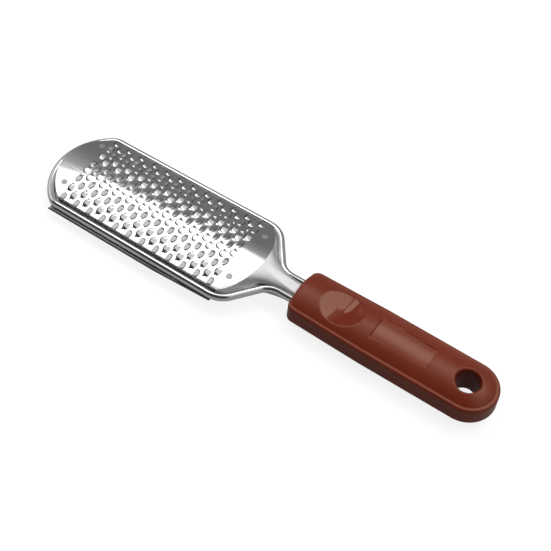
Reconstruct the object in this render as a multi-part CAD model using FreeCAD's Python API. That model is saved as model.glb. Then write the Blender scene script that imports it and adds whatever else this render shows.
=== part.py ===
import FreeCAD, Part
import math
import os

# Foot file: a bent wire frame that carries two vaulted rasp plates, with a crowned handle moulded
# on the ends of the wire. Millimetres. +X runs from the toe to the handle's end, +Z is up and the
# coarse side faces up. Each piece is modelled about the middle of the wire at the toe, and the
# finished pieces are moved together so that the origin is on the table under the file's middle.

# Wire frame, measured to the wire's centre line
wire_diameter = 3.9
toe_radius_over_half_width = 5.55
toe_corner_radius = 7.5
toe_half_width = 26.45
shoulder_half_width = 27.4
shoulder_x = 117.5
shoulder_radius = 12.2
neck_radius = 10.7
neck_angle = 53.8
tang_half_spacing = 5.85
tang_end_x = 187.0
wire_clearance = 0.1

# Sheet of both plates
sheet_thickness = 0.6
vault_radius = 95.0
vault_crest = 6.2
vault_flats = 8
flange_width = 0.5
neck_arc_x = 90.0
neck_arc_radius = 34.5
neck_ramp_run = 9.0
tongue_end_x = 160.0

# Locating dimples near the four corners of the coarse plate
dimple_diameter = 3.0
dimple_depth = 0.25
dimple_half_spacing = 15.7
dimple_toe_x = 12.5
dimple_neck_x = 115.5

# Coarse teeth: oval scales, punched up in staggered rows
tooth_rows = 15
teeth_in_long_row = 12
tooth_pitch = 8.33
tooth_margin = 3.7
first_tooth_x = 17.6
tooth_length = 3.2
tooth_width = 4.8
tooth_rise = 0.9
tooth_corners = 6
tooth_root = 0.3
tooth_heel_sink = 0.15
mouth_length = 0.8

# Fine burrs of the lower plate: small three-sided points on the same staggered rows
burr_width = 1.6
burr_rise = 0.6

# Hem of the lower plate, curled up beside the straight sides of the wire
hem_toe_x = 13.0
hem_taper_x = 80.0
hem_end_x = 113.0
hem_standoff = 1.5
hem_wrap_angle = 66.0

# Handle, measured from its own mid-plane
handle_start_x = 147.0
handle_full_x = 190.0
handle_end_centre_x = 242.5
handle_half_width = 15.1
handle_neck_half_width = 14.0
handle_mid_drop = 1.0
handle_tilt = 0.9
ledge_height = 5.1
ledge_width = 2.1
ledge_bevel = 1.0
crown_rise = 3.7
neck_corner_radius = 3.0

# Thumb dish, flat panel and hanging hole in the handle
dish_x = 170.8
dish_depth = 3.0
dish_length_radius = 25.5
dish_width_radius = 69.0
panel_start_x = 190.5
panel_end_x = 221.4
panel_start_half_width = 7.05
panel_end_half_width = 6.2
panel_depth = 1.2
panel_corner_radius = 1.5
hole_x = 241.5
hole_diameter = 12.6
hole_bevel = 1.0

# Overrun of cutting tools past what they cut
overrun = 1.0

V = FreeCAD.Vector
ORIGIN = V(0, 0, 0)
X_AXIS = V(1, 0, 0)
Y_AXIS = V(0, 1, 0)
Z_AXIS = V(0, 0, 1)

wire_radius = wire_diameter / 2
side_slope = math.atan2(shoulder_half_width - toe_half_width, shoulder_x)
plate_inset = wire_radius + wire_clearance
toe_radius = toe_half_width + toe_radius_over_half_width
tooth_reach = min(toe_half_width, shoulder_half_width) - tooth_margin
tooth_row_pitch = tooth_reach * 2 / (tooth_rows - 1)


def arc(start, middle, end):
    return Part.Arc(start, middle, end).toShape()


def line(start, end):
    return Part.LineSegment(start, end).toShape()


def direction(angle):
    return V(math.cos(angle), math.sin(angle), 0)


def crossing(point_a, along_a, point_b, along_b):
    """Point where two lines in plan cross."""
    share = (point_b - point_a).cross(along_b).z / along_a.cross(along_b).z
    return point_a + along_a * share


def bend(corner, before, after, radius):
    """Start, middle and end of the arc that rounds a corner in plan."""
    turn = before.getAngle(after)
    start = corner - before * (radius * math.tan(turn / 2))
    end = corner + after * (radius * math.tan(turn / 2))
    towards_centre = (after - before).normalize()
    centre = corner + towards_centre * (radius / math.cos(turn / 2))
    return start, centre - towards_centre * radius, end


def side_point(inset):
    """Point of the side line at the toe, moved in from the wire's centre line."""
    return V(0, toe_half_width, 0) + V(math.sin(side_slope), -math.cos(side_slope), 0) * inset


def toe_corner(inset):
    """Points where the toe corner's arc meets the toe arc and the side, and its middle point."""
    inward = V(math.sin(side_slope), -math.cos(side_slope), 0)
    along = direction(side_slope)
    toe_centre = V(toe_radius, 0, 0)
    reach = toe_radius - toe_corner_radius
    start = V(0, toe_half_width, 0) + inward * toe_corner_radius - toe_centre
    half_b = start.dot(along)
    distance = -half_b - math.sqrt(half_b ** 2 - start.dot(start) + reach ** 2)
    centre = toe_centre + start + along * distance
    radius = toe_corner_radius - inset
    outward = (centre - toe_centre).normalize()
    on_toe = centre + outward * radius
    on_side = centre - inward * radius
    middle = centre + (outward - inward).normalize() * radius
    return on_toe, middle, on_side


def toe_edges(inset):
    """Toe arc and its two corner arcs."""
    on_toe, middle, on_side = toe_corner(inset)
    corner = arc(on_toe, middle, on_side)
    toe = arc(on_toe, V(inset, 0, 0), V(on_toe.x, -on_toe.y, 0))
    return [corner, toe, corner.mirror(ORIGIN, Y_AXIS)]


def neck_edges(inset, end_x):
    """Side, shoulder, diagonal, neck and tang lines on the +Y side, up to end_x."""
    along_side = direction(side_slope)
    along_neck = direction(-math.radians(neck_angle))
    outward = V(-along_neck.y, along_neck.x, 0)
    shoulder = crossing(side_point(inset), along_side,
                        V(shoulder_x, shoulder_half_width, 0) - outward * inset, along_neck)
    neck = crossing(shoulder, along_neck, V(0, tang_half_spacing - inset, 0), X_AXIS)
    first = bend(shoulder, along_side, along_neck, shoulder_radius - inset)
    second = bend(neck, along_neck, X_AXIS, neck_radius + inset)
    return [line(toe_corner(inset)[2], first[0]), arc(*first), line(first[2], second[0]),
            arc(*second), line(second[2], V(end_x, tang_half_spacing - inset, 0))]


def joined(edges):
    return Part.Wire(Part.__sortEdges__(edges))


def rim_wire(inset, end_x):
    """Open rim from one tang end round the head to the other."""
    half = neck_edges(inset, end_x)
    return joined(half + toe_edges(inset) + [edge.mirror(ORIGIN, Y_AXIS) for edge in half])


def rim_face(inset, end_x):
    """Area inside the rim, closed across the tongue's end."""
    edges = rim_wire(inset, end_x).Edges
    half_width = tang_half_spacing - inset
    edges.append(line(V(end_x, -half_width, 0), V(end_x, half_width, 0)))
    return Part.Face(joined(edges))


def make_wire_frame():
    path = rim_wire(0, tang_end_x)
    section = Part.Wire(Part.Circle(V(tang_end_x, tang_half_spacing, 0), X_AXIS, wire_radius).toShape())
    return path.makePipeShell([section], True, False)


def vault_prism(crest, radius):
    """Solid below the vault, whose arch is divided into equal flats."""
    half_turn = math.asin(shoulder_half_width / vault_radius)
    turns = [half_turn * (2 * place / vault_flats - 1) for place in range(vault_flats + 1)]
    arch = [V(-overrun, radius * math.sin(turn), crest - radius * (1 - math.cos(turn))) for turn in turns]
    ends = [V(-overrun, arch[-1].y, -vault_crest), V(-overrun, arch[0].y, -vault_crest)]
    section = Part.Face(Part.makePolygon(arch + ends + arch[:1]))
    return section.extrude(V(tongue_end_x + overrun * 2, 0, 0))


def neck_limit(low, high, shrink):
    """Solid that ends the field at the neck in a round ramp, a cone about an upright axis."""
    slant = math.hypot(neck_ramp_run, vault_crest)
    radius = neck_arc_radius - shrink * slant / vault_crest
    spread = neck_ramp_run / vault_crest
    cone = Part.makeCone(radius + (vault_crest - low) * spread, radius + (vault_crest - high) * spread,
                         high - low, V(neck_arc_x, 0, low))
    block = Part.makeBox(neck_arc_x + overrun, shoulder_half_width * 2, high - low,
                         V(-overrun, -shoulder_half_width, low))
    return block.fuse(cone)


def field_block(base, shrink):
    """Solid of the raised field, from its base up to the vault, or the hollow inside it."""
    top = vault_crest + overrun
    wall = rim_face(plate_inset + flange_width + shrink, tongue_end_x)
    wall.translate(V(0, 0, base))
    wall = wall.extrude(V(0, 0, top - base))
    vault = vault_prism(vault_crest - shrink, vault_radius - shrink)
    return wall.common(neck_limit(base, top, shrink)).common(vault)


def vaulted_plate(base, inset, end_x):
    """Flat sheet at the base height with the raised field pressed up out of it, open below."""
    flange = rim_face(inset, end_x).extrude(V(0, 0, sheet_thickness))
    flange.translate(V(0, 0, base))
    outside = field_block(base, 0)
    inside = field_block(base - overrun, sheet_thickness)
    return flange.fuse(outside).cut(inside)


def on_vault(shape, x, row_y, facing):
    """Copy of a shape modelled at the origin, set on the vault and facing the handle or the toe."""
    lean = math.asin(row_y / vault_radius)
    copy = shape.copy()
    if facing < 0:
        copy.rotate(ORIGIN, Z_AXIS, 180)
    copy.rotate(ORIGIN, X_AXIS, -math.degrees(lean))
    copy.translate(V(x, row_y, vault_crest - vault_radius * (1 - math.cos(lean))))
    return copy


def tooth_solid():
    """Oval scale with upright walls, whose flat top rises towards its mouth at +X."""
    low = []
    high = []
    for corner in range(tooth_corners):
        angle = math.pi * (2 * corner + 1) / tooth_corners
        x = math.cos(angle) * tooth_length / 2
        y = math.sin(angle) * tooth_width / 2
        low.append(V(x, y, -tooth_root))
        high.append(V(x, y, (tooth_rise + tooth_heel_sink) * (x / tooth_length + 1 / 2) - tooth_heel_sink))
    faces = [Part.Face(Part.makePolygon(ring + ring[:1])) for ring in (low, high)]
    for here in range(tooth_corners):
        after = (here + 1) % tooth_corners
        wall = [low[here], low[after], high[after], high[here], low[here]]
        faces.append(Part.Face(Part.makePolygon(wall)))
    return Part.makeSolid(Part.makeShell(faces))


def mouth_tool():
    """Slot through the sheet in front of the scale's raised edge."""
    half_turn = math.pi / tooth_corners
    front = math.cos(half_turn) * tooth_length / 2
    width = math.sin(half_turn) * tooth_width
    depth = sheet_thickness + overrun
    return Part.makeBox(mouth_length, width, depth * 2, V(front, -width / 2, -depth))


def tooth_places():
    """X, Y and facing of every coarse tooth; the facing changes after each pair of rows."""
    for row in range(1, tooth_rows + 1):
        y = (row - (tooth_rows + 1) / 2) * tooth_row_pitch
        facing = 1 if (row // 2) % 2 == 0 else -1
        short = 1 - row % 2
        for place in range(teeth_in_long_row - short):
            yield first_tooth_x + (place + short / 2) * tooth_pitch, y, facing


def dimple_tools():
    """Shallow round punches at the plate's four corners."""
    punch = Part.makeCylinder(dimple_diameter / 2, dimple_depth + overrun, V(0, 0, -dimple_depth))
    return [on_vault(punch, x, side * dimple_half_spacing, 1)
            for x in (dimple_toe_x, dimple_neck_x) for side in (-1, 1)]


def make_coarse_plate():
    plate = vaulted_plate(0, plate_inset, tongue_end_x)
    tooth = tooth_solid()
    mouth = mouth_tool()
    teeth = [on_vault(tooth, x, y, facing) for x, y, facing in tooth_places()]
    mouths = [on_vault(mouth, x, y, facing) for x, y, facing in tooth_places()]
    return plate.fuse(teeth).cut(mouths + dimple_tools())


def burr_solid():
    """Three-sided point, sunk into the sheet by half its thickness."""
    tip = V(0, 0, burr_rise)
    turns = [2 * math.pi * side / 3 for side in range(3)]
    foot = [V(math.cos(turn) * burr_width / 2, math.sin(turn) * burr_width / 2, -sheet_thickness / 2)
            for turn in turns]
    faces = [Part.Face(Part.makePolygon(foot + foot[:1]))]
    for near, far in zip(foot, foot[1:] + foot[:1]):
        faces.append(Part.Face(Part.makePolygon([near, far, tip, near])))
    return Part.makeSolid(Part.makeShell(faces))


def hem_length(start_x, end_x, start_standoff, end_standoff):
    """Stretch of hem with a J-shaped cut: flat under the wire, then curled up outside it."""
    centre_y = toe_half_width + math.tan(side_slope) * start_x + start_standoff
    low = plate_inset
    deep = plate_inset + sheet_thickness
    half_wrap = math.radians(hem_wrap_angle) / 2

    def around(radius, angle):
        return V(start_x, centre_y + radius * math.sin(angle), radius * math.cos(angle))

    inner_y = centre_y - start_standoff - wire_radius
    section = Part.Wire([
        line(V(start_x, inner_y, low), around(low, 0)),
        arc(around(low, 0), around(low, half_wrap), around(low, half_wrap * 2)),
        line(around(low, half_wrap * 2), around(deep, half_wrap * 2)),
        arc(around(deep, half_wrap * 2), around(deep, half_wrap), around(deep, 0)),
        line(around(deep, 0), V(start_x, inner_y, deep)),
        line(V(start_x, inner_y, deep), V(start_x, inner_y, low))])
    length = end_x - start_x
    sideways = math.tan(side_slope) * length + end_standoff - start_standoff
    return Part.Face(section).extrude(V(length, sideways, 0))


def make_fine_plate():
    """Lower plate, modelled upwards and then turned over; its flange lies under the wire."""
    plate = vaulted_plate(plate_inset, 0, tongue_end_x)
    hem = hem_length(hem_toe_x, hem_taper_x, hem_standoff, hem_standoff)
    hem = hem.fuse(hem_length(hem_taper_x, hem_end_x, hem_standoff, 0))
    burr = burr_solid()
    burrs = [on_vault(burr, x, y, facing) for x, y, facing in tooth_places()]
    plate = plate.fuse([hem, hem.mirror(ORIGIN, Y_AXIS)] + burrs)
    plate.rotate(ORIGIN, X_AXIS, 180)
    return plate


def handle_face():
    """Plan of the handle: flared sides, rounded neck corners, round far end."""
    neck_corner = V(handle_start_x, handle_neck_half_width, 0)
    full = V(handle_full_x, handle_half_width, 0)
    end = V(handle_end_centre_x, handle_half_width, 0)
    start, middle, flare = bend(neck_corner, Y_AXIS, (full - neck_corner).normalize(), neck_corner_radius)
    half = [line(V(handle_start_x, 0, 0), start), arc(start, middle, flare), line(flare, full),
            line(full, end)]
    far_end = arc(end, V(handle_end_centre_x + handle_half_width, 0, 0), V(end.x, -end.y, 0))
    return Part.Face(joined(half + [edge.mirror(ORIGIN, Y_AXIS) for edge in half] + [far_end]))


def crown_radius():
    half_chord = handle_half_width - ledge_width
    return (half_chord ** 2 + crown_rise ** 2) / (2 * crown_rise)


def crown_half(x):
    """Half of the crown's cut: arch on the +Y side, ledge line and middle line."""
    radius = crown_radius()
    half_chord = handle_half_width - ledge_width
    half_turn = math.asin(half_chord / radius) / 2
    crest = V(x, 0, ledge_height + crown_rise)
    middle = crest + V(0, radius * math.sin(half_turn), -radius * (1 - math.cos(half_turn)))
    edge = V(x, half_chord, ledge_height)
    foot = V(x, 0, ledge_height)
    return [arc(crest, middle, edge), line(edge, foot), line(foot, crest)]


def handle_crown():
    """Crown on the ledge: a length of round arch, an end turned about an upright axis, and the
    same arch tilted to bring it down towards the narrower neck."""
    radius = crown_radius()
    half = Part.Face(joined(crown_half(handle_start_x)))
    straight = half.extrude(V(handle_end_centre_x - handle_start_x, 0, 0))
    end = Part.Face(joined(crown_half(handle_end_centre_x)))
    end = end.revolve(V(handle_end_centre_x, 0, 0), Z_AXIS, -180)
    arch = straight.fuse([straight.mirror(ORIGIN, Y_AXIS), end])
    neck_half_chord = handle_neck_half_width - ledge_width
    neck_drop = crown_rise - radius + math.sqrt(radius ** 2 - neck_half_chord ** 2)
    tilt = V(handle_full_x - handle_start_x, 0, neck_drop).normalize()
    centre = V(handle_full_x, 0, ledge_height + crown_rise - radius)
    length = handle_full_x - handle_start_x + radius
    tilted = Part.makeCylinder(radius, length * 2 + radius, centre - tilt * length, tilt)
    return arch.common(tilted)


def handle_body():
    """Slab with bevelled edges, crowned above and below."""
    plan = handle_face()
    plan.translate(V(0, 0, -ledge_height))
    slab = plan.extrude(V(0, 0, ledge_height * 2))
    flat = [edge for edge in slab.Edges if edge.BoundBox.ZLength < ledge_height]
    slab = slab.makeChamfer(ledge_bevel, flat)
    reach = ledge_height + crown_rise + overrun
    limit = handle_face()
    limit.translate(V(0, 0, -reach))
    limit = limit.extrude(V(0, 0, reach * 2))
    crown = handle_crown().common(limit)
    return slab.fuse([crown, crown.mirror(ORIGIN, Z_AXIS)]).removeSplitter()


def dish_tool():
    """Ring whose outer face leaves the thumb dish in the crown."""
    floor = ledge_height + crown_rise - dish_depth
    return Part.makeTorus(dish_width_radius - dish_length_radius, dish_length_radius,
                          V(dish_x, 0, floor + dish_width_radius), X_AXIS)


def panel_tool():
    """Block that leaves the flat panel in the crown, wider at the neck end."""
    floor = ledge_height + crown_rise - panel_depth
    corners = [V(panel_start_x, -panel_start_half_width, floor),
               V(panel_end_x, -panel_end_half_width, floor),
               V(panel_end_x, panel_end_half_width, floor),
               V(panel_start_x, panel_start_half_width, floor)]
    block = Part.Face(Part.makePolygon(corners + corners[:1])).extrude(V(0, 0, panel_depth + overrun))
    upright = [edge for edge in block.Edges if edge.BoundBox.XMin > (panel_start_x + panel_end_x) / 2
               and edge.BoundBox.ZLength > panel_depth]
    return block.makeFillet(panel_corner_radius, upright)


def hang_hole(body):
    """Cut the hanging hole and bevel its two rims."""
    reach = ledge_height + crown_rise + overrun
    drill = Part.makeCylinder(hole_diameter / 2, reach * 2, V(hole_x, 0, -reach))
    body = body.cut(drill)
    rims = [edge for edge in body.Edges if is_on_hole(edge) and edge.BoundBox.ZLength < crown_rise]
    return body.makeChamfer(hole_bevel, rims)


def is_on_hole(edge):
    middle = edge.valueAt((edge.FirstParameter + edge.LastParameter) / 2)
    reach = math.hypot(middle.x - hole_x, middle.y) * 2 / hole_diameter
    return abs(reach - 1) < Part.Precision.approximation()


def frame_slots():
    """Bores for the wire's two ends and slots for the tongues of the plates."""
    bore_radius = wire_radius + wire_clearance
    bore_length = tang_end_x + wire_clearance - handle_start_x + overrun
    bores = [Part.makeCylinder(bore_radius, bore_length,
                               V(handle_start_x - overrun, side * tang_half_spacing, 0), X_AXIS)
             for side in (-1, 1)]
    slot_length = tongue_end_x + wire_clearance - handle_start_x + overrun
    upper_width = (tang_half_spacing - plate_inset) * 2
    upper = Part.makeBox(slot_length, upper_width, sheet_thickness,
                         V(handle_start_x - overrun, -upper_width / 2, 0))
    lower = Part.makeBox(slot_length, tang_half_spacing * 2, sheet_thickness,
                         V(handle_start_x - overrun, -tang_half_spacing, -plate_inset - sheet_thickness))
    return bores + [upper, lower]


def make_handle():
    """Handle modelled level, then tipped down a little at its far end and dropped."""
    body = handle_body().cut([dish_tool(), panel_tool()])
    body = hang_hole(body)
    body.rotate(V(handle_start_x, 0, 0), Y_AXIS, handle_tilt)
    body.translate(V(0, 0, -handle_mid_drop))
    return body.cut(frame_slots())


def place_on_table(pieces):
    """Move all pieces together, so that the origin is under their middle on the table."""
    box = Part.makeCompound(list(pieces.values())).optimalBoundingBox(False)
    shift = V(-(box.XMin + box.XMax) / 2, -(box.YMin + box.YMax) / 2, -box.ZMin)
    for shape in pieces.values():
        shape.translate(shift)
    return shift


def main():
    os.makedirs("parts", exist_ok=True)
    pieces = {"wire_frame": make_wire_frame(), "coarse_plate": make_coarse_plate(),
              "fine_plate": make_fine_plate(), "handle": make_handle()}
    shift = place_on_table(pieces)
    print("moved by", round(shift.x, 3), round(shift.y, 3), round(shift.z, 3))
    for name, shape in pieces.items():
        print(name, shape.isValid(), len(shape.Solids), round(shape.Volume, 1))
        shape.exportStep("parts/" + name + ".step")


if __name__ == "__main__":
    main()
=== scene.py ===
import bmesh
import bpy
import math
from mathutils import Matrix, Vector


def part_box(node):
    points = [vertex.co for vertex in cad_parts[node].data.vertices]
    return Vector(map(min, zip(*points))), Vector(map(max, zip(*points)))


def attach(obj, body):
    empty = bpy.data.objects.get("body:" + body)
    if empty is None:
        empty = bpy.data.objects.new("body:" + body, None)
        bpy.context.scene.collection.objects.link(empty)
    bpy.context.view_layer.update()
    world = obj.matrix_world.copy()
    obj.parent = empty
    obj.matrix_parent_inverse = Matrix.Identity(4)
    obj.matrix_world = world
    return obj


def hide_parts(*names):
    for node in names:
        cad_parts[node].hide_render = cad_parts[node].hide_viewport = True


# Looks of a foot file: bent wire, vaulted sheet with punched scales, second sheet with a hem below,
# and a crowned plastic handle. Shapes are worked out in millimetres about the middle of the wire at
# the toe, as the part's source does, and set into the frame where the CAD wire lies.

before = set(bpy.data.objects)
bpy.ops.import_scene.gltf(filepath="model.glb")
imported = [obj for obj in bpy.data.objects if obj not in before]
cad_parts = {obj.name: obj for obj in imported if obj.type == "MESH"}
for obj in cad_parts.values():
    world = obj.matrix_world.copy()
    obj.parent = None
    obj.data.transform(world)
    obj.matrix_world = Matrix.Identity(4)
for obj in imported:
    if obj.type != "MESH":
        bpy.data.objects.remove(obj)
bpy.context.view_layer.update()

MM = 0.001

# Meshing: points nearer than the first length merge, and edges shorter than the second go
MERGE_DISTANCE = 0.004
SLIVER_LENGTH = 0.002
SMOOTH_ANGLE = math.radians(35)
CUT_ANGLE = math.radians(40)
HANDLE_SMOOTH_ANGLE = math.radians(50)

# Wire, measured to its centre line
WIRE_RADIUS = 1.95
TOE_RADIUS = 32.0
TOE_CORNER_RADIUS = 7.5
TOE_HALF_WIDTH = 26.45
SHOULDER_HALF_WIDTH = 27.4
SHOULDER_X = 117.5
SHOULDER_RADIUS = 12.2
NECK_RADIUS = 10.7
NECK_ANGLE = math.radians(53.8)
TANG_HALF_SPACING = 5.85
TANG_END_X = 187.0
PLATE_INSET = 2.05
WIRE_SIDES = 32
TOE_STEPS = 24
CORNER_STEPS = 12
BEND_STEPS = 16
SIDE_SLOPE = math.atan2(SHOULDER_HALF_WIDTH - TOE_HALF_WIDTH, SHOULDER_X)

# Vaulted sheet; the punched field shows a thinner edge in its openings
SHEET = 0.6
FIELD_SHEET = 0.42
VAULT_RADIUS = 95.0
VAULT_CREST = 6.2
FLANGE_WIDTH = 0.25
EDGE_RADIUS = 0.3
EDGE_STEPS = 5
FIELD_INSET = PLATE_INSET + FLANGE_WIDTH + EDGE_RADIUS
TOE_END_STEPS = 46
NECK_END_STEPS = 38
SKIRT_PAST_OVAL = 5
SKIRT_STEPS = 140
NECK_OVAL_X = 109.5
NECK_OVAL_LENGTH = 15.0
NECK_OVAL_HALF_WIDTH = 26.0
NECK_PAST_OVAL = 4
NECK_STEPS_ACROSS = 60
NECK_STEPS_ALONG = 24
NECK_FALL_POWER = 1.6
TONGUE_END_X = 160.0
DIMPLE_RADIUS = 1.6
DIMPLE_DEPTH = 0.05
DIMPLE_Y = 15.7
DIMPLES_X = (12.5, 115.5)
WELD_MARK_RADIUS = 1.7
WELD_MARK_RISE = 0.03
WELD_MARK_SIDES = 32

# Lattice of the teeth; each tooth has a tile of half its pitch by two rows
ROWS = 15
LONG_ROW = 12
PITCH = 8.33
ROW_PITCH = 3.25
FIRST_X = 17.6
TILE_HALF_LENGTH = PITCH / 4
TILE_STEPS_X = 10
TILE_STEPS_Y = 16
TOE_OUTLINE_MARGIN = 2

# Scales of the upper sheet, whose mouths gape less towards the handle
SCALE_HALF_LENGTH = 1.5
SCALE_HALF_WIDTH = 2.4
SCALE_SHIFT = -0.45
SCALE_RISE = 0.6
SCALE_SQUARENESS = 4
SCALE_RINGS = (1.0, 0.95, 0.86, 0.7, 0.5, 0.3, 0.12)
HEEL_SOFTNESS = 0.1
FOOT_MARGIN = 0.08
FOOT_SIDE_MARGIN = 0.2
TOE_MOUTH_GAP = 0.85
HANDLE_MOUTH_GAP = 0.35
MOUTH_EDGE = math.cos(math.radians(52))
GAP_BLEND = 0.25
LIP_BLEND = 0.3

# Burrs of the lower sheet, as rings of (reach, height) shares up to the hole at the tip
BURR_RADIUS = 0.8
BURR_RISE = 0.58
BURR_RINGS = ((1.25, 0.0), (0.8, 0.3), (0.5, 0.75), (0.36, 1.0))
BURR_TEARS = 3
BURR_TEAR_SHARE = 0.12

# Hem of the lower sheet
HEM_TOE_X = 13.0
HEM_TAPER_X = 80.0
HEM_END_X = 113.0
HEM_STEPS = 40
HEM_REACH = 3.5
HEM_END_REACH = 2.0
HEM_CURL_RADIUS = 0.9
HEM_CURL = math.radians(40)
HEM_CURL_STEPS = 6

# Handle, measured from its own mid-plane
HANDLE_START_X = 147.0
HANDLE_FULL_X = 190.0
HANDLE_END_X = 242.48
HANDLE_HALF_WIDTH = 15.1
HANDLE_NECK_HALF_WIDTH = 14.0
HANDLE_DROP = 1.0
HANDLE_TILT = math.radians(0.9)
LEDGE_HEIGHT = 5.1
LEDGE_WIDTH = 2.1
LEDGE_RADIUS = 1.2
LEDGE_STEPS = 7
CREASE_WIDTH = 0.12
CREASE_DEPTH = 0.02
CREASE_BLEND = 0.5
SIDE_BEND_HEIGHT = 1.6
CROWN_RISE = 3.7
CROWN_STEPS = 44
CROWN_HALF_WIDTH = HANDLE_HALF_WIDTH - LEDGE_WIDTH
CROWN_RADIUS = (CROWN_HALF_WIDTH ** 2 + CROWN_RISE ** 2) / (2 * CROWN_RISE)
CREST_HEIGHT = LEDGE_HEIGHT + CROWN_RISE
NECK_CORNER_RADIUS = 4.5
NECK_CROWN_SHARE = 0.82
NECK_EDGE_RADIUS = 1.6
NECK_EDGE_STEPS = 8
HANDLE_STEPS = 280
HANDLE_END_STEPS = 72
DISH_X = 170.8
DISH_DEPTH = 3.0
DISH_LENGTH_RADIUS = 25.5
DISH_WIDTH_RADIUS = 69.0
PANEL_START_X = 190.5
PANEL_END_X = 221.4
PANEL_START_HALF_WIDTH = 7.05
PANEL_END_HALF_WIDTH = 6.2
PANEL_DEPTH = 1.2
PANEL_WALL_SLOPE = 4
RIM_BLEND = 0.35
POLISH_MARGIN = 0.1
HOLE_X = 241.5
HOLE_RADIUS = 6.3
HOLE_EDGE_RADIUS = 1.2
HOLE_LOWER_EDGE_RADIUS = 0.4
HOLE_EDGE_STEPS = 7
HOLE_SIDES = 96
HOLE_OVERSHOOT = 2

# Materials: size of the noises, and the spread of a noise's values
STEEL_CLOUD_SCALE = 60
ROLLING_SCALE = 900
ROLLING_STRETCH = (0.06, 1, 1)
PLASTIC_CLOUD_SCALE = 35
GRAIN_SCALE = 2600
BUMP_DEPTH = 0.00002
NOISE_LOW = 0.3
NOISE_HIGH = 0.7
PLASTIC_DARK = (0.195, 0.025, 0.009)
PLASTIC_LIGHT = (0.22, 0.029, 0.011)
PLASTIC_TINT = (1.0, 0.72, 0.55, 1)
PLASTIC_IOR = 1.48
PLASTIC_BUMP = 0.05
SATIN_ROUGHNESS = (0.3, 0.38)
POLISHED_ROUGHNESS = 0.03

wire_low, wire_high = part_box("wire_frame")
ORIGIN_X = wire_low.x / MM + WIRE_RADIUS
ORIGIN_Z = (wire_low.z + wire_high.z) / 2 / MM


def to_row(point):
    """Point in the part's millimetres as a point of the frame in metres."""
    return ((point[0] + ORIGIN_X) * MM, point[1] * MM, (point[2] + ORIGIN_Z) * MM)


def new_piece(name, points, faces, material, slot, smooth_angle=SMOOTH_ANGLE):
    """Piece of the part from points in its millimetres."""
    mesh = bpy.data.meshes.new(name)
    mesh.from_pydata([to_row(point) for point in points], [], faces)
    mesh.materials.append(material)
    piece = bpy.data.objects.new(name, mesh)
    bpy.context.scene.collection.objects.link(piece)
    work = bmesh.new()
    work.from_mesh(mesh)
    bmesh.ops.remove_doubles(work, verts=work.verts, dist=MERGE_DISTANCE * MM)
    bmesh.ops.dissolve_degenerate(work, edges=work.edges, dist=SLIVER_LENGTH * MM)
    work.to_mesh(mesh)
    work.free()
    mesh.shade_smooth()
    mesh.set_sharp_from_angle(angle=smooth_angle)
    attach(piece, "root")
    return piece


def full_turns(count):
    """Angles at equal steps round a full turn."""
    return [math.tau * step / count for step in range(count)]


def quarter_turns(steps):
    """Angles at equal steps from 0 to a right angle."""
    return [math.pi / 2 * step / steps for step in range(steps + 1)]


# Outline of the rim in plan

def rounded(corner, before, after, radius, steps):
    """Points of the arc that rounds a corner between two directions."""
    turn = before.angle(after)
    inward = (after - before).normalized()
    centre = corner + inward * (radius / math.cos(turn / 2))
    start = corner - before * (radius * math.tan(turn / 2)) - centre
    sign = 1 if before.cross(after) > 0 else -1
    return [centre + Matrix.Rotation(sign * turn * step / steps, 2) @ start for step in range(steps + 1)]


def crossing(point_a, along_a, point_b, along_b):
    """Point where two lines meet."""
    share = (point_b - point_a).cross(along_b) / along_a.cross(along_b)
    return point_a + along_a * share


def side_height(x, inset):
    """Half width of the straight side, moved in from the wire's centre line."""
    return TOE_HALF_WIDTH + math.tan(SIDE_SLOPE) * x - inset / math.cos(SIDE_SLOPE)


def half_rim(inset, end_x):
    """Half outline from the toe's middle, by the +Y side, to end_x."""
    along = Vector((math.cos(SIDE_SLOPE), math.sin(SIDE_SLOPE)))
    inward = Vector((along.y, -along.x))
    toe_centre = Vector((TOE_RADIUS, 0))
    reach = TOE_RADIUS - TOE_CORNER_RADIUS
    start = Vector((0, TOE_HALF_WIDTH)) + inward * TOE_CORNER_RADIUS - toe_centre
    half_b = start.dot(along)
    centre = toe_centre + start + along * (-half_b - math.sqrt(half_b ** 2 - start.dot(start) + reach ** 2))
    outward = (centre - toe_centre).normalized()
    radius = TOE_CORNER_RADIUS - inset
    toe_turn = math.atan2(outward.y, -outward.x)
    toe_turns = [toe_turn * step / TOE_STEPS for step in range(TOE_STEPS)]
    points = [toe_centre + Vector((-math.cos(turn), math.sin(turn))) * (TOE_RADIUS - inset)
              for turn in toe_turns]
    turn = outward.angle(-inward)
    points += [centre + Matrix.Rotation(-turn * step / CORNER_STEPS, 2) @ outward * radius
               for step in range(CORNER_STEPS + 1)]
    neck = Vector((math.cos(NECK_ANGLE), -math.sin(NECK_ANGLE)))
    neck_out = Vector((-neck.y, neck.x))
    shoulder = crossing(Vector((0, side_height(0, inset))), along,
                        Vector((SHOULDER_X, SHOULDER_HALF_WIDTH)) - neck_out * inset, neck)
    points += rounded(shoulder, along, neck, SHOULDER_RADIUS - inset, BEND_STEPS)
    throat = crossing(shoulder, neck, Vector((0, TANG_HALF_SPACING - inset)), Vector((1, 0)))
    points += rounded(throat, neck, Vector((1, 0)), NECK_RADIUS + inset, BEND_STEPS)
    points.append(Vector((end_x, TANG_HALF_SPACING - inset)))
    return points


def cut_at(points, x):
    """The outline's part up to x, with a last point on x."""
    kept = [point for point in points if point.x < x]
    after = points[len(kept)]
    share = (x - kept[-1].x) / (after.x - kept[-1].x)
    return kept + [kept[-1].lerp(after, share)]


def half_width(outline, x):
    """Half width of an outline at x."""
    for near, far in zip(outline, outline[1:]):
        if near.x <= x <= far.x and far.x > near.x:
            return near.y + (far.y - near.y) * (x - near.x) / (far.x - near.x)
    return outline[-1].y if x > outline[-1].x else 0.0


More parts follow.
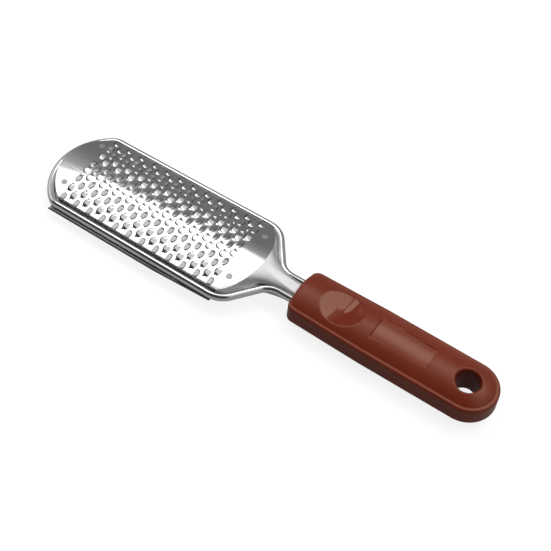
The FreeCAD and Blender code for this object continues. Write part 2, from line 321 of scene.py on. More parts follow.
def along_outline(outline, share):
    """Point at a share of an outline's length."""
    lengths = [(far - near).length for near, far in zip(outline, outline[1:])]
    left = share * sum(lengths)
    for near, far, length in zip(outline, outline[1:], lengths):
        if left <= length:
            return near.lerp(far, left / length)
        left -= length
    return outline[-1].copy()


def x_at(outline, y):
    """X at which an outline reaches a half width."""
    for near, far in zip(outline, outline[1:]):
        if near.y <= y <= far.y and far.y > near.y:
            return near.x + (far.x - near.x) * (y - near.y) / (far.y - near.y)
    return outline[-1].x


def sampled(half, count):
    """Outline as points at equal steps of its length."""
    return [along_outline(half, step / count) for step in range(count + 1)]


def both_sides(half):
    """Whole outline from the neck on the -Y side, round the toe, to the neck on the +Y side."""
    return [Vector((point.x, -point.y)) for point in reversed(half)] + half[1:]


# Grids of points and faces

def strip(rows, closed=False):
    """Points and faces of a grid given as rows of points with equal counts."""
    count = len(rows[0])
    points = [point for row in rows for point in row]
    faces = []
    for row in range(len(rows) - 1):
        for place in range(count if closed else count - 1):
            after = (place + 1) % count
            faces.append((row * count + place, row * count + after,
                          (row + 1) * count + after, (row + 1) * count + place))
    return points, faces


def tube(rows):
    """Closed skin through rings of points, with a flat cap at each end."""
    points, faces = strip(rows, True)
    count = len(rows[0])
    faces.append(tuple(range(count)))
    faces.append(tuple(len(points) - 1 - place for place in range(count)))
    return points, faces


def merged(parts):
    """One list of points and one of faces for several parts."""
    points = []
    faces = []
    for part_points, part_faces in parts:
        shift = len(points)
        points += part_points
        faces += [tuple(corner + shift for corner in face) for face in part_faces]
    return points, faces


# Wire frame

def wire_parts():
    """Round wire along the rim, closed at its two ends."""
    path = both_sides(half_rim(0, TANG_END_X))
    rows = []
    for place, point in enumerate(path):
        before = path[max(place - 1, 0)]
        after = path[min(place + 1, len(path) - 1)]
        along = (after - before).normalized()
        across = Vector((-along.y, along.x))
        rows.append([(point.x + across.x * math.cos(turn) * WIRE_RADIUS,
                      point.y + across.y * math.cos(turn) * WIRE_RADIUS,
                      math.sin(turn) * WIRE_RADIUS) for turn in full_turns(WIRE_SIDES)])
    return tube(rows)


# Vaulted field with its tiles

def vault_height(y):
    """Height of the vault at a distance from its middle line."""
    return VAULT_CREST - VAULT_RADIUS + math.sqrt(VAULT_RADIUS ** 2 - y ** 2)


def on_vault(x, y, height):
    """Point above the vault, along its normal."""
    lean = math.asin(y / VAULT_RADIUS)
    return (x, y + height * math.sin(lean), vault_height(y) + height * math.cos(lean))


def smooth(value):
    """Soft step from 0 to 1."""
    value = min(max(value, 0.0), 1.0)
    return value * value * (3 - 2 * value)


def tile_border():
    """Points round a tile, starting at its +X side."""
    length = TILE_HALF_LENGTH
    width = ROW_PITCH
    corners = [(length, -width), (length, width), (-length, width), (-length, -width)]
    counts = [TILE_STEPS_Y, TILE_STEPS_X, TILE_STEPS_Y, TILE_STEPS_X]
    border = []
    for side in range(4):
        start = corners[side]
        end = corners[(side + 1) % 4]
        for step in range(counts[side]):
            share = step / counts[side]
            border.append((start[0] + (end[0] - start[0]) * share, start[1] + (end[1] - start[1]) * share))
    return border


def scale_height(a, b):
    """Height of a punched scale above the sheet; its mouth is at +a."""
    rise = (a + SCALE_HALF_LENGTH) / (2 * SCALE_HALF_LENGTH)
    rise = math.hypot(rise, HEEL_SOFTNESS) - HEEL_SOFTNESS if rise > 0 else 0.0
    return SCALE_RISE * rise * (1 - (b / SCALE_HALF_WIDTH) ** SCALE_SQUARENESS)


def scale_tile(gap):
    """Points as (a, b, height) and faces of one tile, open at the scale's mouth."""
    border = tile_border()
    count = len(border)
    turns = [math.atan2(b / ROW_PITCH, (a - SCALE_SHIFT) / TILE_HALF_LENGTH) for a, b in border]
    in_mouth = [math.cos(turn) > MOUTH_EDGE for turn in turns]
    foot = []
    for turn in turns:
        front = smooth((math.cos(turn) - MOUTH_EDGE + GAP_BLEND) / GAP_BLEND)
        reach_a = SCALE_HALF_LENGTH + FOOT_MARGIN + (gap - FOOT_MARGIN) * front
        reach_b = SCALE_HALF_WIDTH + FOOT_SIDE_MARGIN
        foot.append((SCALE_SHIFT + math.cos(turn) * reach_a, math.sin(turn) * reach_b, 0.0))
    rings = [[(a, b, 0.0) for a, b in border], foot]
    for share in SCALE_RINGS:
        ring = []
        for turn in turns:
            a = math.cos(turn) * SCALE_HALF_LENGTH * share
            b = math.sin(turn) * SCALE_HALF_WIDTH * share
            height = scale_height(a, b)
            if share == 1.0:
                height *= smooth((math.cos(turn) - MOUTH_EDGE + LIP_BLEND) / LIP_BLEND)
            ring.append((a + SCALE_SHIFT, b, height))
        rings.append(ring)
    points, faces = strip(rings, True)
    kept = [face for face in faces
            if not (face[0] // count == 1 and in_mouth[face[0] % count] and in_mouth[(face[0] + 1) % count])]
    centre = len(points)
    points.append((SCALE_SHIFT, 0.0, scale_height(0, 0)))
    last = (len(rings) - 1) * count
    kept += [(last + place, last + (place + 1) % count, centre) for place in range(count)]
    return points, kept


def burr_tile():
    """Tile with one small punched point that has a hole at its tip."""
    border = tile_border()
    turns = [math.atan2(b, a) for a, b in border]
    rings = [[(a, b, 0.0) for a, b in border]]
    for reach, height in BURR_RINGS:
        rings.append([(math.cos(turn) * reach * BURR_RADIUS,
                       math.sin(turn) * reach * BURR_RADIUS,
                       height * BURR_RISE * (1 + BURR_TEAR_SHARE * math.cos(BURR_TEARS * turn)))
                      for turn in turns])
    return strip(rings, True)


def plain_tile():
    """Flat half tile, for the ends of the short columns."""
    border_x = [TILE_HALF_LENGTH * (2 * step / TILE_STEPS_X - 1) for step in range(TILE_STEPS_X + 1)]
    border_y = [ROW_PITCH / 2 * (2 * step / (TILE_STEPS_Y // 2) - 1) for step in range(TILE_STEPS_Y // 2 + 1)]
    rows = [[(a, b, 0.0) for a in border_x] for b in border_y]
    return strip(rows)


def field_parts(toe_tile, handle_tile):
    """Raised field in tiles, before its straight sides are cut."""
    plain = plain_tile()
    parts = []
    for column in range(LONG_ROW * 2 - 1):
        x = FIRST_X + column * PITCH / 2
        short = column % 2
        for row in range(1 + short, ROWS + 1, 2):
            y = (row - (ROWS + 1) / 2) * ROW_PITCH
            facing = 1 if (row // 2) % 2 == 0 else -1
            tile = handle_tile if facing > 0 else toe_tile
            points = [on_vault(x + a * facing, y + b * facing, height) for a, b, height in tile[0]]
            parts.append((points, tile[1]))
        if short:
            for side in (-1, 1):
                y = side * ((ROWS - 1) / 2 + 0.5) * ROW_PITCH
                parts.append(([on_vault(x + a, y + b, height) for a, b, height in plain[0]], plain[1]))
    return parts


def dimple(x, y):
    """Depth of the locating dimples at a place."""
    for centre_x in DIMPLES_X:
        away = math.hypot(x - centre_x, abs(y) - DIMPLE_Y)
        if away < DIMPLE_RADIUS:
            return -DIMPLE_DEPTH * (1 - (away / DIMPLE_RADIUS) ** 2)
    return 0.0


def neck_oval(y):
    """X at which the vaulted field ends in an oval towards the neck."""
    return NECK_OVAL_X + NECK_OVAL_LENGTH * math.sqrt(max(1 - (y / NECK_OVAL_HALF_WIDTH) ** 2, 0))


def end_parts(outline):
    """Plain ends of the field, towards the toe's arcs and the neck's oval."""
    parts = []
    start_x = FIRST_X - TILE_HALF_LENGTH
    end_x = FIRST_X + (LONG_ROW - 1) * PITCH + TILE_HALF_LENGTH
    toe = [point for point in outline if point.x <= start_x + TOE_OUTLINE_MARGIN]
    step_y = ROW_PITCH * 2 / TILE_STEPS_Y
    for x, steps in ((start_x, TOE_END_STEPS), (end_x, NECK_END_STEPS)):
        limit = half_width(outline, x)
        count = int(limit / step_y)
        places = [-limit] + [step_y * place for place in range(-count, count + 1)] + [limit]
        rows = []
        for y in places:
            if x == start_x:
                near, far = x_at(toe, abs(y)), x
            else:
                near, far = x, neck_oval(y)
            row = []
            for step in range(steps + 1):
                at = near + (far - near) * step / steps
                row.append(on_vault(at, y, dimple(at, y)))
            rows.append(row)
        parts.append(strip(rows))
    return parts


def skirt_parts(base, rim_inset):
    """Rounded edge and wall round the field, and the flat flange outside it."""
    wall_inset = PLATE_INSET + FLANGE_WIDTH
    rings = [(wall_inset + EDGE_RADIUS * (1 - math.sin(turn)), EDGE_RADIUS * (1 - math.cos(turn)), None)
             for turn in quarter_turns(EDGE_STEPS)]
    rings += [(wall_inset, None, base + SHEET), (rim_inset, None, base + SHEET), (rim_inset, None, base)]
    rows = []
    for inset, drop, level in rings:
        half = cut_at(half_rim(inset, TONGUE_END_X), NECK_OVAL_X + SKIRT_PAST_OVAL)
        row = []
        for point in both_sides(sampled(half, SKIRT_STEPS)):
            height = level if drop is None else vault_height(point.y) - drop
            row.append((point.x, point.y, height))
        rows.append(row)
    return [strip(rows)]


def neck_parts(base, rim_inset):
    """Sheet of the neck: a ramp from the field's oval end down to the tongue between the wires."""
    rim = half_rim(rim_inset, TONGUE_END_X)
    start_x = NECK_OVAL_X + NECK_PAST_OVAL
    rim = [Vector((start_x, half_width(rim, start_x)))] + [point for point in rim if point.x > start_x]
    rim.append(Vector((TONGUE_END_X, 0)))
    limit = half_width(half_rim(PLATE_INSET + FLANGE_WIDTH, TONGUE_END_X), start_x)
    top = base + SHEET
    rows = []
    for place in range(-NECK_STEPS_ACROSS, NECK_STEPS_ACROSS + 1):
        y = limit * place / NECK_STEPS_ACROSS
        target = along_outline(rim, 1 - abs(place) / NECK_STEPS_ACROSS)
        if place < 0:
            target = Vector((target.x, -target.y))
        start = Vector((neck_oval(y), y))
        row = []
        for step in range(NECK_STEPS_ALONG + 1):
            share = step / NECK_STEPS_ALONG
            point = start.lerp(target, share)
            fall = (1 - share) ** NECK_FALL_POWER
            row.append((point.x, point.y, top + (vault_height(y) - top) * fall))
        rows.append(row)
    return [strip(rows)]


def weld_mark_parts():
    """Dull round marks of the spot welds, lying over the dimples."""
    parts = []
    count = WELD_MARK_SIDES
    for x, y in ((x, side * DIMPLE_Y) for x in DIMPLES_X for side in (-1, 1)):
        plan = [(x + math.cos(turn) * WELD_MARK_RADIUS, y + math.sin(turn) * WELD_MARK_RADIUS)
                for turn in full_turns(count)]
        points = [(a, b, vault_height(b) + WELD_MARK_RISE) for a, b in plan + [(x, y)]]
        parts.append((points, [(step, (step + 1) % count, count) for step in range(count)]))
    return parts


def cut_sides(piece, inset):
    """Trim the tiles along the field's straight sides."""
    work = bmesh.new()
    work.from_mesh(piece.data)
    for side in (-1, 1):
        on_side = Vector(to_row((0, side * side_height(0, inset), 0)))
        normal = Vector((-math.sin(SIDE_SLOPE), side * math.cos(SIDE_SLOPE), 0))
        everything = work.verts[:] + work.edges[:] + work.faces[:]
        bmesh.ops.bisect_plane(work, geom=everything, dist=SLIVER_LENGTH * MM, plane_co=on_side,
                               plane_no=normal, clear_outer=True)
    work.to_mesh(piece.data)
    work.free()


def hem_parts(base):
    """Hem along both straight sides: flat outside the wire, with its edge curled up."""
    turns = [HEM_CURL * step / HEM_CURL_STEPS for step in range(HEM_CURL_STEPS + 1)]
    deep = HEM_CURL_RADIUS + SHEET
    parts = []
    for side in (-1, 1):
        rows = []
        for station in range(HEM_STEPS + 1):
            x = HEM_TOE_X + (HEM_END_X - HEM_TOE_X) * station / HEM_STEPS
            taper = max(x - HEM_TAPER_X, 0) / (HEM_END_X - HEM_TAPER_X)
            reach = HEM_REACH + (HEM_END_REACH - HEM_REACH) * taper
            wire_y = side_height(x, 0)
            curl_y = wire_y + reach - HEM_CURL_RADIUS
            inside = [(x, side * (curl_y + HEM_CURL_RADIUS * math.sin(turn)),
                       base - HEM_CURL_RADIUS * (1 - math.cos(turn))) for turn in turns]
            outside = [(x, side * (curl_y + deep * math.sin(turn)),
                        base + SHEET - deep * (1 - math.cos(turn))) for turn in reversed(turns)]
            rows.append([(x, side * wire_y, base)] + inside + outside + [(x, side * wire_y, base + SHEET)])
        parts.append(tube(rows))
    return parts


def turned_over(parts):
    """Parts of the lower sheet, from those of an upper one."""
    return [([(x, -y, -z) for x, y, z in points], faces) for points, faces in parts]


# Handle

def handle_half_at(x):
    """Half width of the handle's plan at x, with its neck corners rounded."""
    share = min((x - HANDLE_START_X) / (HANDLE_FULL_X - HANDLE_START_X), 1.0)
    width = HANDLE_NECK_HALF_WIDTH + (HANDLE_HALF_WIDTH - HANDLE_NECK_HALF_WIDTH) * share
    into = x - HANDLE_START_X
    if into < NECK_CORNER_RADIUS:
        left = NECK_CORNER_RADIUS - into
        width -= NECK_CORNER_RADIUS - math.sqrt(NECK_CORNER_RADIUS ** 2 - left ** 2)
    return width


def profile():
    """Cut of the handle from the crown's middle to the side, as (reach, height)."""
    points = []
    for step in range(CROWN_STEPS + 1):
        reach = CROWN_HALF_WIDTH * step / CROWN_STEPS
        points.append((reach, CREST_HEIGHT - CROWN_RADIUS + math.sqrt(CROWN_RADIUS ** 2 - reach ** 2)))
    points.append((CROWN_HALF_WIDTH + CREASE_WIDTH, LEDGE_HEIGHT - CREASE_DEPTH))
    points.append((CROWN_HALF_WIDTH + CREASE_BLEND, LEDGE_HEIGHT))
    for turn in quarter_turns(LEDGE_STEPS):
        points.append((HANDLE_HALF_WIDTH - LEDGE_RADIUS + LEDGE_RADIUS * math.sin(turn),
                       LEDGE_HEIGHT - LEDGE_RADIUS * (1 - math.cos(turn))))
    points.append((HANDLE_HALF_WIDTH, SIDE_BEND_HEIGHT))
    points.append((HANDLE_HALF_WIDTH, 0.0))
    return points


def soft_min(first, second, blend):
    """Lower of two heights, with a rounded change from one to the other."""
    mix = min(max(0.5 + 0.5 * (second - first) / blend, 0.0), 1.0)
    return second * (1 - mix) + first * mix - blend * mix * (1 - mix)


def dish_floor(x, y):
    """Height of the thumb dish, or far above where it isn't."""
    lowest = CREST_HEIGHT - DISH_DEPTH
    across = DISH_WIDTH_RADIUS - math.sqrt(DISH_WIDTH_RADIUS ** 2 - y ** 2)
    reach = DISH_LENGTH_RADIUS ** 2 - (x - DISH_X) ** 2
    if reach <= 0:
        return lowest + DISH_LENGTH_RADIUS
    return lowest + across + DISH_LENGTH_RADIUS - math.sqrt(reach)


def panel_floor(x, y):
    """Height of the panel's floor, whose walls stand up round it."""
    share = (x - PANEL_START_X) / (PANEL_END_X - PANEL_START_X)
    half = PANEL_START_HALF_WIDTH + (PANEL_END_HALF_WIDTH - PANEL_START_HALF_WIDTH) * share
    outside = max(abs(y) - half, PANEL_START_X - x, x - PANEL_END_X)
    return CREST_HEIGHT - PANEL_DEPTH + max(outside, 0.0) * PANEL_WALL_SLOPE


def handle_parts():
    """Closed skin of the handle, made of cuts along its sides and round its far end."""
    cut = profile()
    stations = [HANDLE_START_X + NECK_EDGE_RADIUS * (1 - math.cos(turn))
                for turn in quarter_turns(NECK_EDGE_STEPS)]
    start = HANDLE_START_X + NECK_EDGE_RADIUS
    stations += [start + (HANDLE_END_X - start) * step / HANDLE_STEPS for step in range(1, HANDLE_STEPS + 1)]
    turns = [math.pi * step / HANDLE_END_STEPS for step in range(1, HANDLE_END_STEPS)]
    path = [(x, 0.0, 1) for x in stations] + [(HANDLE_END_X, turn, 0) for turn in turns]
    path += [(x, math.pi, -1) for x in reversed(stations)]
    rows_up = []
    rows_down = []
    for x, turn, side in path:
        width_share = handle_half_at(x) / HANDLE_HALF_WIDTH
        to_full = min(max((HANDLE_FULL_X - x) / (HANDLE_FULL_X - HANDLE_START_X), 0), 1)
        lower = (1 - NECK_CROWN_SHARE) * to_full
        into = x - HANDLE_START_X
        rise = 1.0
        if into < NECK_EDGE_RADIUS:
            left = NECK_EDGE_RADIUS - into
            rise = 1 - (NECK_EDGE_RADIUS - math.sqrt(NECK_EDGE_RADIUS ** 2 - left ** 2)) / CREST_HEIGHT
        up = []
        down = []
        for reach, height in cut:
            away = reach * width_share
            if side == 0:
                at_x = HANDLE_END_X + away * math.sin(turn)
                at_y = away * math.cos(turn)
            else:
                at_x = x
                at_y = away * side
            plain = height * rise
            if height > LEDGE_HEIGHT:
                plain = (LEDGE_HEIGHT + (height - LEDGE_HEIGHT) * (1 - lower)) * rise
            top = plain
            if reach <= CROWN_HALF_WIDTH:
                top = soft_min(top, dish_floor(at_x, at_y), RIM_BLEND)
                top = soft_min(top, panel_floor(at_x, at_y), RIM_BLEND)
            up.append((at_x, at_y, top))
            down.append((at_x, at_y, -plain))
        rows_up.append(up)
        rows_down.append(down)
    points_up, faces_up = strip(rows_up)
    points_down, faces_down = strip(rows_down)
    faces_up = [tuple(reversed(face)) for face in faces_up]
    count = len(cut)
    neck_end = list(range(count)) + [(len(rows_up) - 1) * count + place for place in reversed(range(count))]
    faces_up.append(tuple(neck_end))
    faces_down.append(tuple(reversed(neck_end)))
    return [(points_up, faces_up), (points_down, faces_down)]


def tilted(points):
    """Handle points, tipped at the neck and dropped, as the handle sits on the wire."""
    moved = []
    for x, y, z in points:
        along = x - HANDLE_START_X
        moved.append((HANDLE_START_X + along * math.cos(HANDLE_TILT) + z * math.sin(HANDLE_TILT),
                      y, -along * math.sin(HANDLE_TILT) + z * math.cos(HANDLE_TILT) - HANDLE_DROP))
    return moved


def crown_height(x, y):
    """Height of the plain crown at a place near the handle's end."""
    away = abs(y) if x < HANDLE_END_X else math.hypot(x - HANDLE_END_X, y)
    return CREST_HEIGHT - CROWN_RADIUS + math.sqrt(CROWN_RADIUS ** 2 - away ** 2)


def hole_cutter():
    """Cutter for the hanging hole, flared at both rims to round them."""
    rows = []
    for side, edge in ((1, HOLE_EDGE_RADIUS), (-1, HOLE_LOWER_EDGE_RADIUS)):
        rim = HOLE_RADIUS + edge
        half = []
        for turn in quarter_turns(HOLE_EDGE_STEPS):
            reach = HOLE_RADIUS + edge * (1 - math.sin(turn))
            ring = []
            for around in full_turns(HOLE_SIDES):
                level = crown_height(HOLE_X + rim * math.cos(around), rim * math.sin(around))
                ring.append((HOLE_X + reach * math.cos(around), reach * math.sin(around),
                             side * (level - edge * (1 - math.cos(turn)))))
            half.append(ring)
        half.insert(0, [(x, y, z + side * HOLE_OVERSHOOT) for x, y, z in half[0]])
        rows += half if side == 1 else list(reversed(half))
    return tube(rows)


# Materials

def node_material(name):
    material = bpy.data.materials.new(name)
    material.use_nodes = True
    tree = material.node_tree
    shader = tree.nodes["Principled BSDF"]
    return material, tree, shader


def noise_socket(tree, scale, detail, stretch=(1, 1, 1)):
    place = tree.nodes.new("ShaderNodeTexCoord")
    mapping = tree.nodes.new("ShaderNodeMapping")
    mapping.inputs["Scale"].default_value = stretch
    noise = tree.nodes.new("ShaderNodeTexNoise")
    noise.inputs["Scale"].default_value = scale
    noise.inputs["Detail"].default_value = detail
    tree.links.new(place.outputs["Object"], mapping.inputs["Vector"])
    tree.links.new(mapping.outputs["Vector"], noise.inputs["Vector"])
    return noise.outputs["Fac"]


def mapped(tree, value, low, high):
    """Noise value spread over a range of roughness."""
    node = tree.nodes.new("ShaderNodeMapRange")
    node.inputs["From Min"].default_value = NOISE_LOW
    node.inputs["From Max"].default_value = NOISE_HIGH
    node.inputs["To Min"].default_value = low
    node.inputs["To Max"].default_value = high
    tree.links.new(value, node.inputs["Value"])
    return node.outputs["Result"]


def colour_ramp(tree, value, low, high):
    node = tree.nodes.new("ShaderNodeValToRGB")
    node.color_ramp.elements[0].position = NOISE_LOW
    node.color_ramp.elements[0].color = (*low, 1)
    node.color_ramp.elements[1].position = NOISE_HIGH
    node.color_ramp.elements[1].color = (*high, 1)
    tree.links.new(value, node.inputs["Fac"])
    return node.outputs["Color"]


def add_bump(tree, shader, value, strength):
    bump = tree.nodes.new("ShaderNodeBump")
    bump.inputs["Strength"].default_value = strength
    bump.inputs["Distance"].default_value = BUMP_DEPTH
    tree.links.new(value, bump.inputs["Height"])
    tree.links.new(bump.outputs["Normal"], shader.inputs["Normal"])


def steel(name, low, high, rough_low, rough_high, bump):
    """Steel with faint rolling marks along the tool."""
    material, tree, shader = node_material(name)
    shader.inputs["Metallic"].default_value = 1.0
    cloud = noise_socket(tree, STEEL_CLOUD_SCALE, 3.0)
    marks = noise_socket(tree, ROLLING_SCALE, 3.0, ROLLING_STRETCH)
    tree.links.new(colour_ramp(tree, cloud, low, high), shader.inputs["Base Color"])
    tree.links.new(mapped(tree, marks, rough_low, rough_high), shader.inputs["Roughness"])
    add_bump(tree, shader, marks, bump)
    return material


def plastic():
    """Satin moulded plastic with a fine grain, polished in the dish and on the panel."""
    material, tree, shader = node_material("handle_satin_plastic")
    cloud = noise_socket(tree, PLASTIC_CLOUD_SCALE, 3.0)
    grain = noise_socket(tree, GRAIN_SCALE, 2.0)
    tree.links.new(colour_ramp(tree, cloud, PLASTIC_DARK, PLASTIC_LIGHT), shader.inputs["Base Color"])
    polished = tree.nodes.new("ShaderNodeAttribute")
    polished.attribute_name = "polished"
    satin = mapped(tree, grain, *SATIN_ROUGHNESS)
    mix = tree.nodes.new("ShaderNodeMix")
    mix.data_type = "FLOAT"
    mix.inputs["B"].default_value = POLISHED_ROUGHNESS
    tree.links.new(polished.outputs["Fac"], mix.inputs["Factor"])
    tree.links.new(satin, mix.inputs["A"])
    tree.links.new(mix.outputs["Result"], shader.inputs["Roughness"])
    shader.inputs["IOR"].default_value = PLASTIC_IOR
    shader.inputs["Specular Tint"].default_value = PLASTIC_TINT
    add_bump(tree, shader, grain, PLASTIC_BUMP)
    return material


def mark_polished(piece):
    """Attribute that is 1 on the thumb dish and the panel."""
    attribute = piece.data.attributes.new("polished", "FLOAT", "POINT")
    for place, vertex in enumerate(piece.data.vertices):
        x = vertex.co.x / MM - ORIGIN_X
        y = vertex.co.y / MM
        z = vertex.co.z / MM - ORIGIN_Z
        along = x - HANDLE_START_X
        own_x = HANDLE_START_X + along * math.cos(HANDLE_TILT) - (z + HANDLE_DROP) * math.sin(HANDLE_TILT)
        own_z = along * math.sin(HANDLE_TILT) + (z + HANDLE_DROP) * math.cos(HANDLE_TILT)
        inside = abs(min(dish_floor(own_x, y), panel_floor(own_x, y)) - own_z) < POLISH_MARGIN
        attribute.data[place].value = 1.0 if inside else 0.0


wire_steel = steel("wire_bright_steel", (0.66, 0.66, 0.67), (0.72, 0.72, 0.72), 0.07, 0.13, 0.05)
plate_steel = steel("plate_satin_steel", (0.60, 0.59, 0.59), (0.68, 0.67, 0.67), 0.07, 0.13, 0.08)
weld_steel = steel("weld_mark_steel", (0.34, 0.33, 0.33), (0.4, 0.39, 0.39), 0.42, 0.5, 0.1)
neck_steel = steel("neck_brushed_steel", (0.56, 0.55, 0.55), (0.62, 0.61, 0.61), 0.48, 0.54, 0.1)
handle_plastic = plastic()

wire_piece = new_piece("wire_smooth", *wire_parts(), wire_steel, "wire_steel")
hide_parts("wire_frame")


def make_field(name, parts):
    """Punched field of a plate, cut along its sides and given its thickness."""
    piece = new_piece(name, *merged(parts), plate_steel, "plate_steel")
    cut_sides(piece, FIELD_INSET)
    thicken(piece)
    return piece


def thicken(piece):
    """Give the sheet its thickness and keep its cut edges crisp."""
    solid = piece.modifiers.new("sheet", "SOLIDIFY")
    solid.thickness = FIELD_SHEET * MM
    solid.offset = -1
    solid.use_quality_normals = True
    bpy.context.view_layer.update()
    mesh = bpy.data.meshes.new_from_object(piece.evaluated_get(bpy.context.evaluated_depsgraph_get()))
    piece.modifiers.clear()
    piece.data = mesh
    mesh.set_sharp_from_angle(angle=CUT_ANGLE)


field_outline = half_rim(FIELD_INSET, TONGUE_END_X)

coarse_tiles = (scale_tile(TOE_MOUTH_GAP), scale_tile(HANDLE_MOUTH_GAP))
coarse_field = make_field("coarse_scales", field_parts(*coarse_tiles))
coarse_sheet = new_piece("coarse_sheet", *merged(end_parts(field_outline) + skirt_parts(0, PLATE_INSET)),
                         plate_steel, "plate_steel")
weld_marks = new_piece("weld_marks", *merged(weld_mark_parts()), weld_steel, "plate_steel")
coarse_neck = new_piece("coarse_neck", *merged(neck_parts(0, PLATE_INSET)), neck_steel, "plate_steel")
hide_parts("coarse_plate")
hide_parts("coarse_plate")
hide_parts("coarse_plate")
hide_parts("coarse_plate")

burr = burr_tile()
fine_field = make_field("fine_burrs", turned_over(field_parts(burr, burr)))
fine_parts = turned_over(end_parts(field_outline) + skirt_parts(PLATE_INSET, 0)
                         + neck_parts(PLATE_INSET, 0) + hem_parts(PLATE_INSET))
fine_sheet = new_piece("fine_sheet", *merged(fine_parts), plate_steel, "plate_steel")
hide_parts("fine_plate")
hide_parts("fine_plate")


def make_handle():
    """Handle with its hanging hole cut through."""
    points, faces = merged(handle_parts())
    piece = new_piece("handle_smooth", tilted(points), faces, handle_plastic, "handle_plastic",
                      HANDLE_SMOOTH_ANGLE)
    points, faces = hole_cutter()
    cutter = new_piece("hole_cutter", tilted(points), faces, handle_plastic, "handle_plastic")
    work = bmesh.new()
    for closed in (cutter, piece):
        work.from_mesh(closed.data)
        bmesh.ops.recalc_face_normals(work, faces=work.faces)
        work.to_mesh(closed.data)
        work.clear()
    work.free()
    hole = piece.modifiers.new("hole", "BOOLEAN")
    hole.operation = "DIFFERENCE"
    hole.object = cutter
    hole.solver = "EXACT"
    bpy.context.view_layer.update()
    mesh = bpy.data.meshes.new_from_object(piece.evaluated_get(bpy.context.evaluated_depsgraph_get()))
    piece.modifiers.clear()
    piece.data = mesh
    bpy.data.objects.remove(cutter)
    mesh.set_sharp_from_angle(angle=CUT_ANGLE)
    mark_polished(piece)
    return piece


handle = make_handle()
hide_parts("handle")


# Floor, light and camera

# The floor glows to white for the camera, and reflections see only a share of that glow
FLOOR_HALF = 2.5
FLOOR_GREY = 0.3
FLOOR_ROUGHNESS = 0.9
FLOOR_GLOW = 0.85
GLOSSY_SHARE = 0.2

# Zones of the world, each as (axis, where it begins, where it is full, level), each laid over the last
WORLD_LEVEL = 0.36
WORLD_ZONES = (((0.15, 0.25, 0.95), 0.75, 0.9, 0.95), ((-0.1, -0.75, 0.65), 0.56, 0.72, 0.06),
               ((0, -0.5, -0.87), 0.1, 0.45, 0.5), ((-0.5, 0.85, 0.0), 0.62, 0.8, 0.22),
               ((-0.85, 0.1, 0.5), 0.87, 0.93, 0.85), ((-0.7, 0.7, 0.12), 0.962, 0.985, 0.5))

# Screens overhead, in the part's millimetres: one is seen in the upper plate, the other in the dish
# and, through its narrow arm, along the panel
SCREEN_HEIGHT = 1000.0
SCREEN_LEVEL = 3.2
TOE_SCREEN = ((-600, -60), (-240, 40), (-225, 380), (-225, 722), (-330, 755), (-470, 700), (-530, 420))
HANDLE_SCREEN = ((-170, 400), (900, 280), (900, 1050), (110, 1050), (75, 694), (-110, 694), (-110, 676),
                 (75, 676), (75, 655), (-170, 655))

# Camera, in the part's millimetres
CAMERA_LENS = 93.07
CAMERA_SENSOR = 36.0
CAMERA_REACH = 20.0
CAMERA_PLACE = (342.5, -381.9, 556.1)
CAMERA_FORWARD = (-0.2980, 0.5420, -0.7858)
CAMERA_RIGHT = (0.8308, 0.5527, 0.0662)


def make_floor():
    """Floor that rests against the toe and the handle, white for the camera and clear from below."""
    mesh = bpy.data.meshes.new("floor")
    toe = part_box("fine_plate")[0]
    slope = max((toe.z - vertex.co.z) / (vertex.co.x - toe.x) for vertex in handle.data.vertices)
    corners = [(-FLOOR_HALF, -FLOOR_HALF), (FLOOR_HALF, -FLOOR_HALF), (FLOOR_HALF, FLOOR_HALF),
               (-FLOOR_HALF, FLOOR_HALF)]
    mesh.from_pydata([(x, y, toe.z - (x - toe.x) * slope) for x, y in corners], [], [(0, 1, 2, 3)])
    floor = bpy.data.objects.new("floor", mesh)
    bpy.context.scene.collection.objects.link(floor)
    material, tree, shader = node_material("floor_white")
    shader.inputs["Base Color"].default_value = (FLOOR_GREY, FLOOR_GREY, FLOOR_GREY, 1)
    shader.inputs["Roughness"].default_value = FLOOR_ROUGHNESS
    shader.inputs["Specular IOR Level"].default_value = 0.0
    path = tree.nodes.new("ShaderNodeLightPath")
    seen = tree.nodes.new("ShaderNodeMath")
    seen.operation = "MULTIPLY_ADD"
    tree.links.new(path.outputs["Is Glossy Ray"], seen.inputs[0])
    seen.inputs[1].default_value = GLOSSY_SHARE
    tree.links.new(path.outputs["Is Camera Ray"], seen.inputs[2])
    glow = tree.nodes.new("ShaderNodeMath")
    glow.operation = "MULTIPLY"
    glow.inputs[1].default_value = FLOOR_GLOW
    tree.links.new(seen.outputs["Value"], glow.inputs[0])
    shader.inputs["Emission Color"].default_value = (1, 1, 1, 1)
    tree.links.new(glow.outputs["Value"], shader.inputs["Emission Strength"])
    side = tree.nodes.new("ShaderNodeNewGeometry")
    clear = tree.nodes.new("ShaderNodeBsdfTransparent")
    one_sided = tree.nodes.new("ShaderNodeMixShader")
    tree.links.new(side.outputs["Backfacing"], one_sided.inputs["Fac"])
    tree.links.new(shader.outputs["BSDF"], one_sided.inputs[1])
    tree.links.new(clear.outputs["BSDF"], one_sided.inputs[2])
    tree.links.new(one_sided.outputs["Shader"], tree.nodes["Material Output"].inputs["Surface"])
    mesh.materials.append(material)


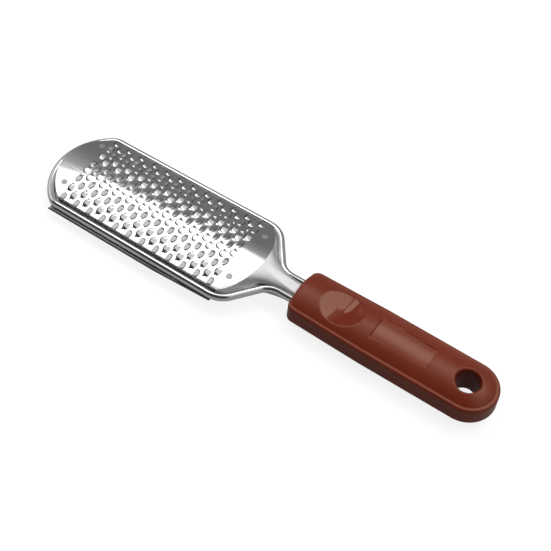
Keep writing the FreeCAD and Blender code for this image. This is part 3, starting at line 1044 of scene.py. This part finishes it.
def make_world():
    """Studio round the object, white for the camera. Light and reflections see grey, light overhead and
    past the toe, dark above the viewer, and darker on the far side."""
    world = bpy.data.worlds.new("studio")
    bpy.context.scene.world = world
    world.use_nodes = True
    tree = world.node_tree
    background = tree.nodes["Background"]
    place = tree.nodes.new("ShaderNodeTexCoord")
    level = None
    for axis, start, full, bright in WORLD_ZONES:
        along = tree.nodes.new("ShaderNodeVectorMath")
        along.operation = "DOT_PRODUCT"
        along.inputs[1].default_value = Vector(axis).normalized()
        tree.links.new(place.outputs["Generated"], along.inputs[0])
        share = tree.nodes.new("ShaderNodeMapRange")
        share.interpolation_type = "SMOOTHSTEP"
        share.inputs["From Min"].default_value = start
        share.inputs["From Max"].default_value = full
        tree.links.new(along.outputs["Value"], share.inputs["Value"])
        mix = tree.nodes.new("ShaderNodeMix")
        mix.data_type = "FLOAT"
        tree.links.new(share.outputs["Result"], mix.inputs["Factor"])
        if level is None:
            mix.inputs["A"].default_value = WORLD_LEVEL
        else:
            tree.links.new(level, mix.inputs["A"])
        mix.inputs["B"].default_value = bright
        level = mix.outputs["Result"]
    path = tree.nodes.new("ShaderNodeLightPath")
    seen = tree.nodes.new("ShaderNodeMix")
    seen.data_type = "FLOAT"
    tree.links.new(path.outputs["Is Camera Ray"], seen.inputs["Factor"])
    tree.links.new(level, seen.inputs["A"])
    seen.inputs["B"].default_value = 1.0
    tree.links.new(seen.outputs["Result"], background.inputs["Color"])


def make_screen(name, corners):
    """Flat bright screen overhead, which the camera doesn't see."""
    mesh = bpy.data.meshes.new(name)
    mesh.from_pydata([to_row((x, y, SCREEN_HEIGHT)) for x, y in corners], [],
                     [tuple(reversed(range(len(corners))))])
    screen = bpy.data.objects.new(name, mesh)
    bpy.context.scene.collection.objects.link(screen)
    material, tree, shader = node_material(name + "_white")
    shader.inputs["Base Color"].default_value = (0, 0, 0, 1)
    shader.inputs["Specular IOR Level"].default_value = 0.0
    shader.inputs["Emission Color"].default_value = (1, 1, 1, 1)
    shader.inputs["Emission Strength"].default_value = SCREEN_LEVEL
    mesh.materials.append(material)
    screen.visible_camera = False
    screen.visible_shadow = False


def add_camera():
    """Camera at the photograph's view."""
    camera = bpy.data.cameras.new("camera")
    camera.lens = CAMERA_LENS
    camera.sensor_width = CAMERA_SENSOR
    camera.clip_end = CAMERA_REACH
    holder = bpy.data.objects.new("camera", camera)
    forward = Vector(CAMERA_FORWARD).normalized()
    right = Vector(CAMERA_RIGHT)
    right = (right - forward * right.dot(forward)).normalized()
    up = right.cross(forward)
    matrix = Matrix((right, up, -forward)).transposed().to_4x4()
    matrix.translation = Vector(to_row(CAMERA_PLACE))
    holder.matrix_world = matrix
    bpy.context.scene.collection.objects.link(holder)
    bpy.context.scene.camera = holder


make_floor()
make_world()
make_screen("softbox_toe", TOE_SCREEN)
make_screen("softbox_handle", HANDLE_SCREEN)
add_camera()
bpy.context.scene.view_settings.view_transform = "Standard"
